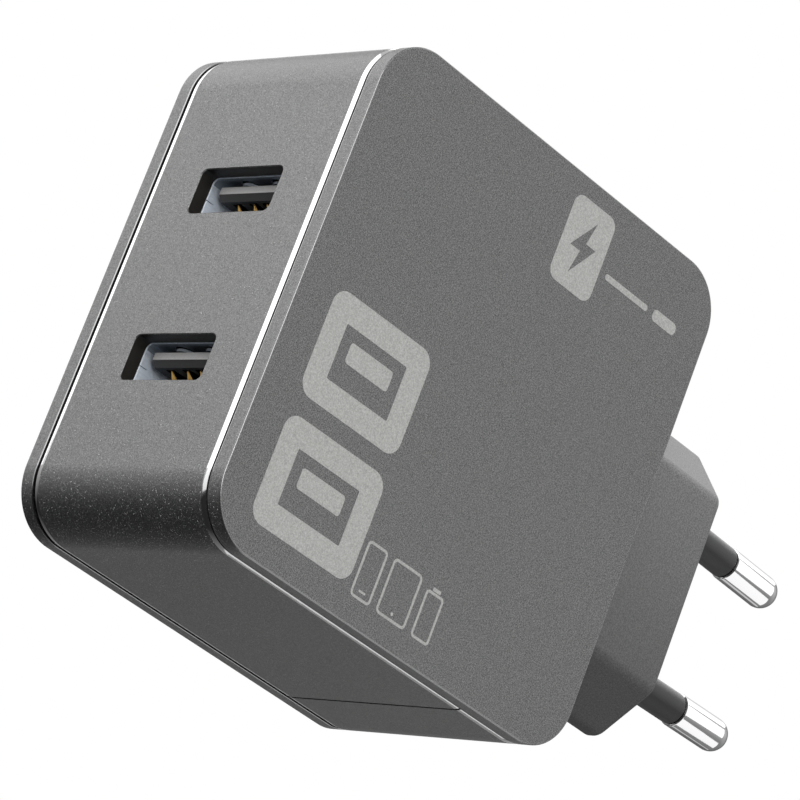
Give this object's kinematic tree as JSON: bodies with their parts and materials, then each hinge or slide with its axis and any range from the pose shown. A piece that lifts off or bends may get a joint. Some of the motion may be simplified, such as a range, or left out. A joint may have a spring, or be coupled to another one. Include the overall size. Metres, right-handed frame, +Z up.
{
  "type": "usb wall charger",
  "caption": "Flat block mains charger with a round-pin plug behind, USB-A sockets in front, a metallic front band and flat side covers.",
  "frame": {"origin": "centre of the plug face, midway between the two pins", "axes": "+Y out of the plug face into the wall socket, along the pins; +Z up, with the pins one above the other; +X to the right seen from the ports' side"},
  "size_m": [0.031, 0.0947, 0.0576],
  "materials": {
    "band_paint": "grey metallic paint with fine sparkle, polished chamfers",
    "cover_paint": "fine-grained dark grey, satin rim",
    "plug_plastic": "moulded, matte dark grey",
    "pin_nickel": "nickel plated, polished",
    "sleeve_plastic": "moulded, matte black",
    "shell_steel": "tin-plated sheet",
    "tongue_plastic": "moulded, satin grey",
    "contact_gold": "gold plated",
    "board_green": "green solder mask",
    "component_plastic": "moulded black package",
    "ferrite": "dark sintered ferrite",
    "winding_tape": "yellow winding tape over enamelled wire",
    "copper_wire": "enamelled copper wire",
    "can_sleeve": "dark shrink sleeve on an aluminium can",
    "can_aluminium": "plain drawn aluminium",
    "yellow_case": "yellow moulded box",
    "blue_coat": "blue dipped coating",
    "film": "translucent insulating film",
    "red_wire": "insulated wire",
    "blue_wire": "insulated wire"
  },
  "bodies": {
    "charger": {"front_band": "band_paint", "rear_housing": "plug_plastic", "left_side_cover": "cover_paint", "right_side_cover": "cover_paint", "pin_upper": "pin_nickel", "pin_lower": "pin_nickel", "pin_sleeve_upper": "sleeve_plastic", "pin_sleeve_lower": "sleeve_plastic", "usb_shell_upper": "shell_steel", "usb_shell_lower": "shell_steel", "usb_tongue_upper": "tongue_plastic", "usb_tongue_lower": "tongue_plastic", "usb_board": "board_green", "main_board": "board_green", "board_header": "component_plastic", "port_controller": "component_plastic", "transformer_core_front": "ferrite", "transformer_core_rear": "ferrite", "transformer_bobbin": "component_plastic", "transformer_winding": "winding_tape", "choke_core": "ferrite", "choke_winding": "copper_wire", "bulk_capacitor_1": "can_sleeve", "bulk_capacitor_2": "can_sleeve", "output_capacitor_upper": "can_aluminium", "output_capacitor_lower": "can_aluminium", "x_capacitor": "yellow_case", "y_capacitor": "blue_coat", "fuse": "component_plastic", "bridge_rectifier": "component_plastic", "output_rectifier": "component_plastic", "optocoupler": "component_plastic", "controller_chip": "component_plastic", "switching_transistor": "component_plastic", "heat_sink": "can_aluminium", "insulating_sheet": "film", "live_lead": "red_wire", "neutral_lead": "blue_wire", "usb_terminal_upper_1": "contact_gold", "usb_terminal_upper_2": "contact_gold", "usb_terminal_upper_3": "contact_gold", "usb_terminal_upper_4": "contact_gold", "usb_terminal_lower_1": "contact_gold", "usb_terminal_lower_2": "contact_gold", "usb_terminal_lower_3": "contact_gold", "usb_terminal_lower_4": "contact_gold"},
    "upper_port_contacts": {"usb_contact_upper_1": "contact_gold", "usb_contact_upper_2": "contact_gold", "usb_contact_upper_3": "contact_gold", "usb_contact_upper_4": "contact_gold"},
    "lower_port_contacts": {"usb_contact_lower_1": "contact_gold", "usb_contact_lower_2": "contact_gold", "usb_contact_lower_3": "contact_gold", "usb_contact_lower_4": "contact_gold"}
  },
  "joints": [
    {"name": "upper_contacts_flex", "type": "hinge", "parent": "charger", "child": "upper_port_contacts", "pos_m": [0, -0.06475, 0.01026], "axis": [-1, 0, 0], "range_deg": [0, 4], "stiffness_Nm_per_rad": 0.1},
    {"name": "lower_contacts_flex", "type": "hinge", "parent": "charger", "child": "lower_port_contacts", "pos_m": [0, -0.06475, -0.00931], "axis": [-1, 0, 0], "range_deg": [0, 4], "stiffness_Nm_per_rad": 0.1}
  ]
}
